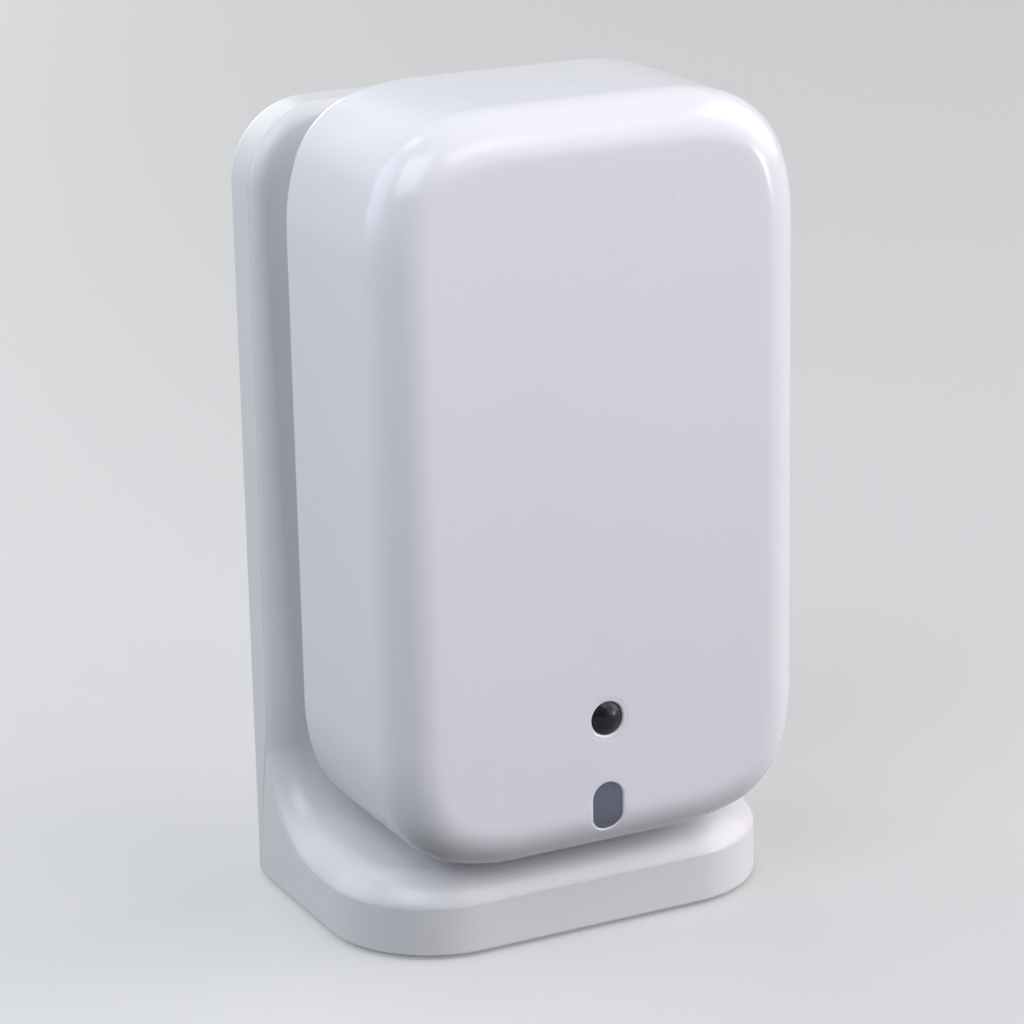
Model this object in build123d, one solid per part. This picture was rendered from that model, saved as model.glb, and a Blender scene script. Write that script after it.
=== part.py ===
"""Presence sensor that hangs on a magnetic tilting dock in front of an L-shaped stand.

Millimetres. X is to the right seen from the front, Y points backwards, Z is up.
The origin is on the floor, in the middle of the object's width and depth.
"""
from build123d import *
import math
import os

os.makedirs("parts", exist_ok=True)

# Sensor housing: its width, height and depth follow from the cells and boards inside
sensor_lift = 10.1
side_bay_width = 10.2
crown_gap = 0.9
front_room = 6.7
corner_reach = 14.5
corner_radius = 9.6
corner_sweep_deg = 18.9
front_fillet = 5.1
wall = 1.8
rim_width = 0.9
cover_thickness = 1.8
cover_gap = 0.1
edge_break = 0.3

# Stand
dock_gap = 6.2
plate_thickness = 6.2
stand_overhang = 0.9
stand_drop = 2.9
stand_corner = 8.6
foot_setback = 3.9
foot_height = 8.8
foot_corner = 12.1
web_radius = 8.0
soft_edge = 1.6
back_edge = 0.6
stand_wall = 2.0
foot_wall = 2.2
stand_cover_thickness = 1.5
base_cover_thickness = 2.4
pad_thickness = 1.0
pad_proud = 0.4
pad_margin = 1.9
ballast_thickness = 3.2
ballast_gap = 0.5
stand_boss_radius = 2.4
base_boss_radius = 2.6
boss_bite = 0.6
case_boss_radius = 2.3
case_boss_inset_x = 1.5
case_boss_inset_z = 3.5
case_boss_rib = 1.2

# Screws: the larger ones for the housings, the smaller one for the board
screw_radius = 0.9
screw_head_radius = 1.7
screw_head_height = 0.9
screw_fit = 0.03
tip_gap = 0.2
head_clearance = 0.2
cross_width = 0.45
cross_length = 2.0
cross_depth = 0.5
stand_screw_length = 4.2
base_screw_length = 6.0
case_screw_length = 8.0
bracket_screw_length = 3.8
board_screw_radius = 0.7
board_head_radius = 1.4
board_head_height = 0.7
board_screw_length = 5.0

# Tilt hinge and dock
puck_radius = 9.0
puck_thickness = 2.6
recess_depth = 1.0
recess_gap = 0.3
dock_spacing = 1.6
hinge_setback = 4.4
barrel_radius = 2.6
barrel_half_length = 4.0
pin_radius = 1.0
pin_clearance = 0.04
washer_thickness = 0.4
washer_radius = 2.2
side_play = 0.05
ear_thickness = 1.6
circlip_thickness = 0.4
circlip_radius = 1.8
pin_overhang = 0.3
bracket_half_length = 12.0
bracket_half_height = 4.6
bracket_thickness = 1.4
bracket_screw_inset = 2.7
barrel_window_gap = 0.4
bracket_fit = 0.1
bracket_boss_margin = 2.0
magnet_radius = 2.4
magnet_thickness = 1.4
magnet_ring_radius = 5.2
magnet_count = 3
magnet_fit = 0.05
grip_thickness = 0.4
grip_margin = 0.8
steel_radius = 8.4
steel_thickness = 1.2
steel_fit = 0.1
steel_collar = 1.2
steel_lip = 0.4

# Cells and their compartment
cell_radius = 5.25
cell_body_length = 43.6
cell_nub_length = 0.9
cell_nub_radius = 1.9
cell_spacing_gap = 0.4
cell_side_gap = 0.3
cell_roof_gap = 0.35
cell_floor_gap = 0.25
cell_edge = 0.4
compartment_wall = 1.2
compartment_rise = 5.8
spring_room = 4.5
door_thickness = 1.4
door_gap = 0.15
door_corner = 2.0
foam_thickness = 0.3
foam_half_width = 6.0
foam_half_height = 14.0
grip_notch_radius = 4.0
grip_notch_depth = 0.5
contact_thickness = 0.3
contact_half_width = 3.2
contact_half_height = 3.6
contact_play = 0.05
tongue_half_width = 1.6
tongue_angle_deg = 35.0
tail_half_width = 1.0
tail_gap = 0.15

# Boards
board_thickness = 1.2
board_side_gap = 2.0
board_rise = 4.6
board_head_room = 5.4
board_corner = 3.0
boss_notch_gap = 0.6
post_radius = 2.0
post_gap = 3.9
post_drop = 5.6
radar_half_width = 14.0
radar_half_height = 12.0
radar_thickness = 0.8
radar_rise = 5.0
radar_setback = 1.8
radar_chip_half = 3.0
radar_chip_thickness = 0.9
radar_chip_drop = 5.0
patch_half_width = 1.7
patch_half_height = 1.4
patch_thickness = 0.1
patch_columns = 4
patch_rows = 2
patch_pitch_x = 5.6
patch_pitch_z = 4.4
patch_row_height = 5.4
header_half_width = 1.25
header_half_height = 6.3
header_inset = 1.8
wireless_half_width = 6.6
wireless_half_height = 7.6
wireless_thickness = 0.8
wireless_head_room = 14.0
shield_margin = 0.7
shield_antenna_strip = 4.0
shield_thickness = 2.0
capacitor_radius = 1.6
capacitor_length = 3.6
capacitor_side = 8.5
capacitor_height = 24.0
capacitor_pitch = 5.0
capacitor_count = 2

# Light sensor, its lens, and the status window
lens_height = 15.3
lens_radius = 1.8
lens_dome = 0.55
lens_fit = 0.05
lens_flange_radius = 2.8
lens_flange_thickness = 0.8
bezel_radius = 2.3
bezel_depth = 0.6
bezel_proud = 0.12
shroud_radius = 2.6
shroud_bore = 1.5
light_chip_half = 0.9
light_chip_thickness = 0.7
window_width = 3.8
window_length = 5.6
window_height = 5.5
window_depth = 4.6
window_fit = 0.05
led_half_width = 0.8
led_half_height = 0.5
led_thickness = 0.7

# Pairing button
button_radius = 2.5
button_fit = 0.1
button_recess = 0.2
switch_side_gap = 1.4
button_height = 30.0
button_flange_radius = 3.2
button_flange_thickness = 0.6
button_flange_play = 0.05
button_stem_radius = 1.2
button_dish_radius = 4.5
button_dish_depth = 0.35
switch_half = 3.0
switch_thickness = 3.5
plunger_radius = 1.7
plunger_rise = 1.0
plunger_depth = 1.2
plunger_fit = 0.1
button_travel = 0.4

# Overall sizes worked out from what the sensor holds
cell_length = cell_body_length + cell_nub_length
cell_x = cell_radius + cell_spacing_gap / 2
bay_half_width = cell_x + cell_radius + cell_side_gap
bay_length = cell_length + spring_room + contact_thickness
steel_collar_radius = steel_radius + steel_fit + steel_collar
dock_height = compartment_rise + bay_length + compartment_wall + dock_spacing + steel_collar_radius
sensor_width = (bay_half_width + compartment_wall + side_bay_width + wall) * 2
sensor_height = dock_height + steel_collar_radius + crown_gap + wall
board_setback = door_thickness + cell_roof_gap + cell_radius * 2 + cell_floor_gap + compartment_wall
sensor_depth = board_setback + board_thickness + front_room + wall
stand_width = sensor_width + stand_overhang * 2
stand_height = sensor_lift + sensor_height - stand_drop
foot_reach = sensor_depth - foot_setback

# Places worked out from the sizes above
total_depth = lens_dome + sensor_depth + dock_gap + plate_thickness
front_y = -total_depth / 2 + lens_dome
rear_y = front_y + sensor_depth
plate_y = rear_y + dock_gap
back_y = plate_y + plate_thickness
foot_front_y = rear_y - foot_reach
sensor_mid_z = sensor_lift + sensor_height / 2
inner_front_y = front_y + wall
cover_inner_y = rear_y - cover_thickness
dock_z = sensor_lift + dock_height
hinge_y = rear_y + hinge_setback
puck_front_y = rear_y - recess_depth
puck_back_y = puck_front_y + puck_thickness
cell_y = rear_y - door_thickness - cell_roof_gap - cell_radius
bay_floor_y = cell_y - cell_radius - cell_floor_gap
bay_low_z = sensor_lift + compartment_rise
bay_high_z = bay_low_z + bay_length
board_rear_y = rear_y - board_setback
board_front_y = board_rear_y - board_thickness
board_low_z = sensor_lift + board_rise
board_high_z = sensor_lift + sensor_height - board_head_room
board_half_width = sensor_width / 2 - wall - board_side_gap
case_boss_x = sensor_width / 2 - wall - case_boss_radius - case_boss_inset_x
case_boss_rise = wall + case_boss_radius + case_boss_inset_z
case_boss_places = [(x, z) for x in (-case_boss_x, case_boss_x)
                    for z in (sensor_lift + case_boss_rise, sensor_lift + sensor_height - case_boss_rise)]
lens_z = sensor_lift + lens_height
window_z = sensor_lift + window_height
button_z = sensor_lift + button_height
button_side = bay_half_width + compartment_wall + switch_side_gap + switch_half
switch_y = board_rear_y + switch_thickness
plunger_tip_y = switch_y + plunger_rise
radar_front_y = inner_front_y + radar_setback
radar_rear_y = radar_front_y + radar_thickness
radar_z = sensor_mid_z + radar_rise


def block(x_span, y_span, z_span):
    """Box between a low and a high value on each axis."""
    spans = (x_span, y_span, z_span)
    middle = [(low + high) / 2 for low, high in spans]
    return Pos(*middle) * Box(*[high - low for low, high in spans])


def rod(axis, radius, span, first=0.0, second=0.0):
    """Cylinder along an axis; first and second place it on the other two axes in X, Y, Z order."""
    low, high = span
    middle = (low + high) / 2
    turn, place = {
        "x": (Rot(0, 90, 0), (middle, first, second)),
        "y": (Rot(90, 0, 0), (first, middle, second)),
        "z": (Rot(0, 0, 0), (first, second, middle)),
    }[axis]
    return Pos(*place) * turn * Cylinder(radius, high - low)


def both_sides(shape):
    """The shape and its mirror image across the middle plane of the width."""
    return [shape, mirror(shape, Plane.YZ)]


def facing_front(y, z):
    """Drawing plane seen from the front, whose normal points forwards."""
    return Plane(origin=(0, y, z), x_dir=(1, 0, 0), z_dir=(0, -1, 0))


def sensor_outline(inset=0.0):
    """Face with flat sides and soft corners: each corner is a tight arc between two wide ones."""
    bend = math.radians(corner_sweep_deg)
    slack = math.cos(bend) - math.sin(bend)
    wide = (corner_reach - corner_radius * slack) / (1 - slack)
    depth = wide - (wide - corner_radius) * math.cos(bend)
    arcs = []
    for quarter in range(4):
        half = (sensor_width / 2, sensor_height / 2)
        across, up = half if quarter % 2 == 0 else half[::-1]
        turn = Rot(0, 0, 90 * quarter)
        rest = 90 - corner_sweep_deg
        arcs.append(turn * CenterArc((across - wide, up - corner_reach), wide - inset, 0, corner_sweep_deg))
        arcs.append(turn * CenterArc((across - depth, up - depth), corner_radius - inset,
                                     corner_sweep_deg, rest - corner_sweep_deg))
        arcs.append(turn * CenterArc((across - corner_reach, up - wide), wide - inset, rest,
                                     corner_sweep_deg))
    sides = [Line(arcs[last] @ 1, arcs[(last + 1) % len(arcs)] @ 0) for last in range(2, len(arcs), 3)]
    return make_face(arcs + sides)


def sensor_block(inset, y_rear, y_front, front_radius):
    """Solid with the sensor's outline, rounded at its front edge."""
    face = facing_front(y_rear, sensor_mid_z) * sensor_outline(inset)
    solid = extrude(face, amount=y_rear - y_front)
    if front_radius > 0:
        solid = fillet(solid.faces().sort_by(Axis.Y)[0].edges(), front_radius)
    return solid


def screw(shank_radius, head_radius, head_height, length):
    """Pan-head screw standing on Z, its head's top at zero, with a cross recess."""
    body = rod("z", head_radius, (-head_height, 0)) + rod("z", shank_radius, (-length, 0))
    arm = (-cross_length / 2, cross_length / 2)
    slot = (-cross_width / 2, cross_width / 2)
    for x_span, y_span in ((arm, slot), (slot, arm)):
        body -= block(x_span, y_span, (-cross_depth, cross_depth))
    return body


def screw_hole(shank_radius, head_radius, head_height, length):
    """Space that a screw needs: its shank and its sunk head."""
    head = rod("z", head_radius + head_clearance, (-head_height, head_height))
    return head + rod("z", shank_radius + screw_fit, (-length - tip_gap, 0))


main_screw = (screw_radius, screw_head_radius, screw_head_height)
small_screw = (board_screw_radius, board_head_radius, board_head_height)
facing_back = Rot(-90, 0, 0)
facing_forward = Rot(90, 0, 0)
facing_down = Rot(180, 0, 0)


def save(name, shapes):
    """Write one node; a list becomes a group of separate solids."""
    shape = Compound(children=[s for s in shapes]) if isinstance(shapes, list) else shapes
    export_step(shape, os.path.join("parts", name + ".step"))


# Stand shell

def stand_profile():
    """Side view of the upright and the foot, joined by a concave sweep."""
    sweep_y = plate_y - web_radius
    sweep_z = foot_height + web_radius
    corners = [(sweep_y, foot_height), (foot_front_y, foot_height), (foot_front_y, pad_proud),
               (back_y, pad_proud), (back_y, stand_height), (plate_y, stand_height), (plate_y, sweep_z)]
    lines = [Line(a, b) for a, b in zip(corners, corners[1:])]
    lines.append(CenterArc((sweep_y, sweep_z), web_radius, 0, -90))
    return make_face(lines)


def soft_chain(solid):
    """The edge that runs round the front of the upright, down the sweep and round the foot's top."""
    tolerance = edge_break / 10
    skin = [face for face in solid.faces().filter_by(Axis.Y) if abs(face.center().Y - plate_y) < tolerance]
    skin += [face for face in solid.faces().filter_by(Axis.Z) if abs(face.center().Z - foot_height) < tolerance]
    skin += [face for face in solid.faces().filter_by(GeomType.CYLINDER)
             if foot_height < face.center().Z < foot_height + web_radius]
    edges = [edge for face in skin for edge in face.edges()]
    return [edge for edge in edges if sum(edge.is_same(other) for other in edges) == 1]


stand_x = stand_width / 2
stand_boss_x = stand_x - stand_wall - stand_boss_radius + boss_bite
stand_boss_low_z = foot_height + stand_wall + stand_boss_radius - boss_bite
stand_boss_high_z = stand_height - stand_corner + stand_wall - stand_boss_radius
stand_boss_places = [(x, z) for x in (-stand_boss_x, stand_boss_x)
                     for z in (stand_boss_low_z, stand_boss_high_z)]
base_boss_x = stand_x - foot_corner
base_boss_y = (foot_front_y + foot_wall + base_boss_radius - boss_bite,
               back_y - foot_wall - base_boss_radius + boss_bite)
base_boss_places = [(x, y) for x in (-base_boss_x, base_boss_x) for y in base_boss_y]
stand_cover_y = back_y - stand_cover_thickness
base_top_z = pad_proud + base_cover_thickness
foot_ceiling_z = foot_height - foot_wall


def upright_face(inset):
    """Front view of the upright's hollow: square at the foot, rounded at the top."""
    low = foot_height + inset
    high = stand_height - inset
    half = stand_x - inset
    face = facing_front(0, (low + high) / 2) * Rectangle(half * 2, high - low)
    return fillet(face.vertices().sort_by(Axis.Z)[-2:], stand_corner - inset)


def foot_face(inset, z):
    """Plan of the foot's hollow: square at the back, rounded at the front."""
    low = foot_front_y + inset
    high = back_y - inset
    face = Pos(0, (low + high) / 2, z) * Rectangle((stand_x - inset) * 2, high - low)
    return fillet(face.vertices().sort_by(Axis.Y)[:2], foot_corner - inset)


def upright_slab(inset, y_front, y_back):
    return extrude(Pos(0, y_back, 0) * upright_face(inset), amount=y_back - y_front)


def foot_slab(inset, z_low, z_high):
    return extrude(foot_face(inset, z_low), amount=z_high - z_low)


def make_stand_shell():
    body = extrude(Plane.YZ * stand_profile(), amount=stand_x, both=True)
    body = fillet(body.edges().filter_by(Axis.Z).sort_by(Axis.Y)[:2], foot_corner)
    body = fillet(body.edges().filter_by(Axis.Y).sort_by(Axis.Z)[-2:], stand_corner)
    body = fillet(soft_chain(body), soft_edge)
    rear_rim = body.faces().sort_by(Axis.Y)[-1].edges()
    body = fillet([edge for edge in rear_rim if edge.center().Z > foot_height / 2], back_edge)
    body -= upright_slab(stand_wall, plate_y + stand_wall, back_y)
    body -= upright_slab(rim_width, stand_cover_y, back_y)
    body -= foot_slab(foot_wall, pad_proud, foot_ceiling_z)
    body -= foot_slab(rim_width, pad_proud, base_top_z)
    for x, z in stand_boss_places:
        body += rod("y", stand_boss_radius, (plate_y + stand_wall, stand_cover_y), x, z)
    for x, y in base_boss_places:
        body += rod("z", base_boss_radius, (base_top_z, foot_ceiling_z), x, y)
    boss_x = bracket_half_length + bracket_boss_margin
    boss_z = bracket_half_height + bracket_boss_margin
    body += block((-boss_x, boss_x), (plate_y + stand_wall, stand_cover_y), (dock_z - boss_z, dock_z + boss_z))
    body -= bracket_plate(bracket_fit)
    body -= barrel_window()
    for x, z in stand_boss_places:
        body -= Pos(x, back_y, z) * facing_back * screw_hole(*main_screw, stand_screw_length)
    for x, y in base_boss_places:
        body -= Pos(x, y, pad_thickness) * facing_down * screw_hole(*main_screw, base_screw_length)
    for place in bracket_screw_places():
        body -= place * screw_hole(*main_screw, bracket_screw_length)
    return body


# Hinge bracket in the gap

hinge_ear_x = (barrel_half_length + washer_thickness + side_play * 2,
               barrel_half_length + washer_thickness + side_play * 2 + ear_thickness)


def bracket_plate(grow=0.0):
    x = bracket_half_length + grow
    z = bracket_half_height + grow
    return block((-x, x), (plate_y, plate_y + bracket_thickness + grow), (dock_z - z, dock_z + z))


def barrel_window():
    """Room behind the barrel, which reaches past the front of the upright."""
    x = hinge_ear_x[0]
    reach = barrel_radius + barrel_window_gap
    return rod("x", reach, (-x, x), hinge_y, dock_z)


def bracket_screw_places():
    x = bracket_half_length - bracket_screw_inset
    return [Pos(side * x, plate_y, dock_z) * facing_forward for side in (-1, 1)]


def make_hinge_bracket():
    body = bracket_plate()
    low, high = hinge_ear_x
    ear = rod("x", barrel_radius, (low, high), hinge_y, dock_z)
    ear += block((low, high), (hinge_y, plate_y + bracket_thickness), (dock_z - barrel_radius, dock_z + barrel_radius))
    for side in both_sides(ear):
        body += side
    body -= barrel_window()
    body -= rod("x", pin_radius + pin_clearance, (-high, high), hinge_y, dock_z)
    for place in bracket_screw_places():
        body -= place * screw_hole(*main_screw, bracket_screw_length)
    return body


def ring_x(outer, inner, span):
    return rod("x", outer, span, hinge_y, dock_z) - rod("x", inner, span, hinge_y, dock_z)


pin_half_length = hinge_ear_x[1] + side_play + circlip_thickness + pin_overhang
washer_span = (barrel_half_length + side_play, barrel_half_length + side_play + washer_thickness)
circlip_span = (hinge_ear_x[1] + side_play, hinge_ear_x[1] + side_play + circlip_thickness)
hinge_bore = pin_radius + pin_clearance

save("stand_shell", make_stand_shell())
save("hinge_bracket", make_hinge_bracket())
save("bracket_screws", [place * screw(*main_screw, bracket_screw_length) for place in bracket_screw_places()])
save("hinge_pin", rod("x", pin_radius, (-pin_half_length, pin_half_length), hinge_y, dock_z))
save("hinge_washers", both_sides(ring_x(washer_radius, hinge_bore, washer_span)))
save("hinge_circlips", both_sides(ring_x(circlip_radius, hinge_bore, circlip_span)))


# Covers, ballast and pad of the stand

def make_stand_back_cover():
    body = upright_slab(rim_width + cover_gap, stand_cover_y, back_y)
    body = chamfer(body.faces().sort_by(Axis.Y)[-1].edges(), edge_break)
    for x, z in stand_boss_places:
        body -= Pos(x, back_y, z) * facing_back * screw_hole(*main_screw, stand_screw_length)
    return body


def make_foot_base_cover():
    body = foot_slab(rim_width + cover_gap, pad_proud, base_top_z)
    body -= foot_slab(pad_margin, pad_proud, pad_thickness)
    for x, y in base_boss_places:
        body -= Pos(x, y, pad_thickness) * facing_down * screw_hole(*main_screw, base_screw_length)
    return body


def make_foot_ballast():
    body = foot_slab(foot_wall + ballast_gap, base_top_z, base_top_z + ballast_thickness)
    for x, y in base_boss_places:
        body -= rod("z", base_boss_radius + ballast_gap, (base_top_z, foot_height), x, y)
    return body


stand_screw_places = [Pos(x, back_y, z) * facing_back for x, z in stand_boss_places]
save("stand_back_cover", make_stand_back_cover())
save("back_cover_screws", [place * screw(*main_screw, stand_screw_length) for place in stand_screw_places])
save("foot_base_cover", make_foot_base_cover())
save("foot_ballast", make_foot_ballast())
base_screw_places = [Pos(x, y, pad_thickness) * facing_down for x, y in base_boss_places]
save("foot_base_screws", [place * screw(*main_screw, base_screw_length) for place in base_screw_places])
save("non_slip_pad", foot_slab(pad_margin + cover_gap, 0, pad_thickness))


# Dock: a round puck with the hinge barrel behind it and magnets in its face

def magnet_places():
    angles = [math.radians(90 + 360 * number / magnet_count) for number in range(magnet_count)]
    return [(magnet_ring_radius * math.cos(angle), dock_z + magnet_ring_radius * math.sin(angle))
            for angle in angles]


grip_back_y = puck_front_y + grip_thickness
magnet_back_y = grip_back_y + magnet_thickness
grip_radius = puck_radius - grip_margin


def make_dock_puck():
    body = rod("y", puck_radius, (puck_front_y, puck_back_y), 0, dock_z)
    body = chamfer(body.edges().filter_by(GeomType.CIRCLE), edge_break)
    neck_half_height = barrel_radius
    neck = block((-barrel_half_length, barrel_half_length), (puck_back_y - edge_break, hinge_y),
                 (dock_z - neck_half_height, dock_z + neck_half_height))
    body += neck + rod("x", barrel_radius, (-barrel_half_length, barrel_half_length), hinge_y, dock_z)
    body -= rod("x", hinge_bore, (-puck_radius, puck_radius), hinge_y, dock_z)
    body -= rod("y", grip_radius + magnet_fit, (puck_front_y, grip_back_y), 0, dock_z)
    for x, z in magnet_places():
        body -= rod("y", magnet_radius + magnet_fit, (puck_front_y, magnet_back_y), x, z)
    return body


save("dock_puck", make_dock_puck())
save("dock_magnets", [rod("y", magnet_radius, (grip_back_y, magnet_back_y), x, z) for x, z in magnet_places()])
save("dock_grip_pad", rod("y", grip_radius, (puck_front_y, grip_back_y), 0, dock_z))


# Sensor housing

def capsule_prism(grow, y_span):
    """Upright capsule seen from the front, drawn through the housing."""
    low, high = y_span
    height = window_length + grow * 2
    width = window_width + grow * 2
    face = facing_front(high, window_z) * (Rot(0, 0, 90) * SlotOverall(height, width))
    return extrude(face, amount=high - low)


def case_boss(x, z):
    """Screw boss from the front wall to the rear cover, with a rib to the side wall."""
    body = rod("y", case_boss_radius, (inner_front_y - edge_break, cover_inner_y), x, z)
    side = math.copysign(sensor_width / 2 - wall / 2, x)
    rib_front_y = front_y + front_fillet
    x_span = (min(x, side), max(x, side))
    z_span = (z - case_boss_rib / 2, z + case_boss_rib / 2)
    return body + block(x_span, (rib_front_y, cover_inner_y), z_span)


def make_front_shell():
    body = sensor_block(0, rear_y, front_y, front_fillet)
    body -= sensor_block(wall, rear_y, inner_front_y, front_fillet - wall)
    body -= sensor_block(rim_width, rear_y, cover_inner_y, 0)
    bosses = [case_boss(x, z) for x, z in case_boss_places]
    body += [boss & sensor_block(rim_width, rear_y, inner_front_y - edge_break, 0) for boss in bosses]
    for x, z in case_boss_places:
        body -= Pos(x, rear_y, z) * facing_back * screw_hole(*main_screw, case_screw_length)
    body -= rod("y", lens_radius + lens_fit, (front_y - wall, inner_front_y + wall), 0, lens_z)
    body -= rod("y", bezel_radius + lens_fit, (front_y - wall, front_y + bezel_depth), 0, lens_z)
    body -= capsule_prism(window_fit, (front_y - wall, front_y + window_depth + wall))
    return body


def door_outline(grow, y_front, y_back):
    x = bay_half_width + compartment_wall + grow
    low = bay_low_z - compartment_wall - grow
    high = bay_high_z + compartment_wall + grow
    body = block((-x, x), (y_front, y_back), (low, high))
    return fillet(body.edges().filter_by(Axis.Y), door_corner + grow)


door_inner_y = rear_y - door_thickness
post_side = steel_collar_radius + post_radius + post_gap
post_places = [(-post_side, dock_z - post_drop), (post_side, dock_z - post_drop)]
steel_back_y = puck_front_y - steel_lip
steel_front_y = steel_back_y - steel_thickness
bay_span = ((-bay_half_width, bay_half_width), (bay_floor_y, rear_y), (bay_low_z, bay_high_z))
button_guide_y = cover_inner_y - button_flange_play - button_flange_thickness


def tail_places():
    """Tails of the three contacts: the end wall that each stands at, and where across."""
    inner = tail_half_width
    return [(-cell_x, bay_low_z), (cell_x, bay_low_z), (cell_x - inner, bay_high_z)]


def tail_block(x, z, grow, y_front):
    """Tail of a contact, through the compartment's floor, or the slot for it with grow."""
    toward = 1 if z < sensor_mid_z else -1
    ends = sorted((z - toward * grow, z + toward * (contact_thickness + grow)))
    half = tail_half_width + grow
    return block((x - half, x + half), (y_front, bay_floor_y + contact_thickness), tuple(ends))


def make_rear_cover():
    body = sensor_block(rim_width + cover_gap, rear_y, cover_inner_y, 0)
    body = chamfer(body.faces().sort_by(Axis.Y)[-1].edges(), edge_break)
    wall_x = bay_half_width + compartment_wall
    body += block((-wall_x, wall_x), (board_rear_y, cover_inner_y),
                  (bay_low_z - compartment_wall, bay_high_z + compartment_wall))
    body += rod("y", steel_collar_radius, (steel_front_y, cover_inner_y), 0, dock_z)
    for x, z in post_places:
        body += rod("y", post_radius, (board_rear_y, cover_inner_y), x, z)
    body -= block(*bay_span)
    body -= door_outline(0, door_inner_y, rear_y)
    body -= rod("y", puck_radius + recess_gap, (puck_front_y, rear_y), 0, dock_z)
    body -= rod("y", steel_radius + steel_fit, (steel_front_y, steel_back_y), 0, dock_z)
    body -= rod("y", button_radius + button_fit, (cover_inner_y, rear_y), button_side, button_z)
    body -= rod("y", button_dish_radius, (rear_y - button_dish_depth, rear_y), button_side, button_z)
    for x, z in case_boss_places:
        body -= Pos(x, rear_y, z) * facing_back * screw_hole(*main_screw, case_screw_length)
    for x, z in post_places:
        body -= Pos(x, board_front_y, z) * facing_forward * screw_hole(*small_screw, board_screw_length)
    for x, z in tail_places():
        body -= tail_block(x, z, tail_gap, board_rear_y)
    return body


save("front_shell", make_front_shell())
save("rear_cover", make_rear_cover())
save("dock_steel_plate", rod("y", steel_radius, (steel_front_y, steel_back_y), 0, dock_z))
save("case_screws", [Pos(x, rear_y, z) * facing_back * screw(*main_screw, case_screw_length)
                     for x, z in case_boss_places])


# Battery door, cells and contacts

def make_battery_door():
    body = door_outline(-door_gap, door_inner_y, rear_y)
    body = chamfer(body.faces().sort_by(Axis.Y)[-1].edges(), edge_break)
    notch_z = bay_high_z - grip_notch_radius
    notch = Pos(0, rear_y + grip_notch_radius - grip_notch_depth, notch_z) * Sphere(grip_notch_radius)
    return body - notch


def make_cell(x, up):
    low = bay_low_z + (spring_room if up else contact_thickness + contact_play)
    can_low = low if up else low + cell_nub_length
    can = rod("z", cell_radius, (can_low, can_low + cell_body_length), x, cell_y)
    can = fillet(can.edges().filter_by(GeomType.CIRCLE), cell_edge)
    nub_span = (can_low + cell_body_length, low + cell_length) if up else (low, can_low)
    return can + rod("z", cell_nub_radius, nub_span, x, cell_y)


def contact_plate(x_span, z_wall):
    """Flat strip standing against an end wall of the compartment."""
    toward = contact_thickness if z_wall < sensor_mid_z else -contact_thickness
    z_span = tuple(sorted((z_wall, z_wall + toward)))
    return block(x_span, (bay_floor_y, cell_y + contact_half_height), z_span)


def spring_tongue(x, z_wall):
    """Tongue bent up from the strip until it nearly meets the flat end of a cell."""
    reach = spring_room - contact_play
    run = reach / math.tan(math.radians(tongue_angle_deg))
    start = cell_y + contact_half_height
    points = [(start, 0), (start - run, reach), (start - run, reach - contact_thickness),
              (start - contact_thickness, 0)]
    face = make_face(Polyline(*points, close=True))
    tongue = extrude(Plane(origin=(x, 0, z_wall), x_dir=(0, 1, 0), z_dir=(1, 0, 0)) * face,
                     amount=tongue_half_width, both=True)
    return tongue if z_wall < sensor_mid_z else mirror(tongue, Plane.XY.offset(z_wall))


def contact(x_span, z_wall, tongue_x, tail_x):
    body = contact_plate(x_span, z_wall)
    if tongue_x is not None:
        body += spring_tongue(tongue_x, z_wall)
    return body + tail_block(tail_x, z_wall, 0, board_rear_y)


tails = tail_places()
left_span = (-cell_x - contact_half_width, -cell_x + contact_half_width)
right_span = (cell_x - contact_half_width, cell_x + contact_half_width)
save("battery_door", make_battery_door())
save("door_foam_pad", block((-foam_half_width, foam_half_width), (door_inner_y - foam_thickness, door_inner_y),
                            (sensor_lift + button_height - foam_half_height,
                             sensor_lift + button_height + foam_half_height)))
save("battery_cell_left", make_cell(-cell_x, True))
save("battery_cell_right", make_cell(cell_x, False))
save("battery_spring_contact", contact(left_span, bay_low_z, -cell_x, tails[0][0]))
save("battery_flat_contact", contact(right_span, bay_low_z, None, tails[1][0]))
save("battery_bridge_contact", contact((left_span[0], right_span[1]), bay_high_z, cell_x, tails[2][0]))


# Main board and what stands on it

def on_board(half_width, half_height, thickness, x, z):
    """Flat component on the board's front face."""
    return block((x - half_width, x + half_width), (board_front_y - thickness, board_front_y),
                 (z - half_height, z + half_height))


def make_main_board():
    body = block((-board_half_width, board_half_width), (board_front_y, board_rear_y), (board_low_z, board_high_z))
    body = fillet(body.edges().filter_by(Axis.Y), board_corner)
    for x, z in case_boss_places:
        body -= rod("y", case_boss_radius + boss_notch_gap, (board_front_y, board_rear_y), x, z)
    for x, z in post_places:
        body -= rod("y", board_screw_radius + screw_fit, (board_front_y, board_rear_y), x, z)
    return body


def patch_places():
    """Two rows of radar antenna patches, transmitters above receivers."""
    first_x = -patch_pitch_x * (patch_columns - 1) / 2
    first_z = radar_z + patch_row_height - patch_pitch_z * (patch_rows - 1) / 2
    return [(first_x + column * patch_pitch_x, first_z + row * patch_pitch_z)
            for column in range(patch_columns) for row in range(patch_rows)]


def on_radar(half_width, half_height, thickness, x, z):
    return block((x - half_width, x + half_width), (radar_front_y - thickness, radar_front_y),
                 (z - half_height, z + half_height))


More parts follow.
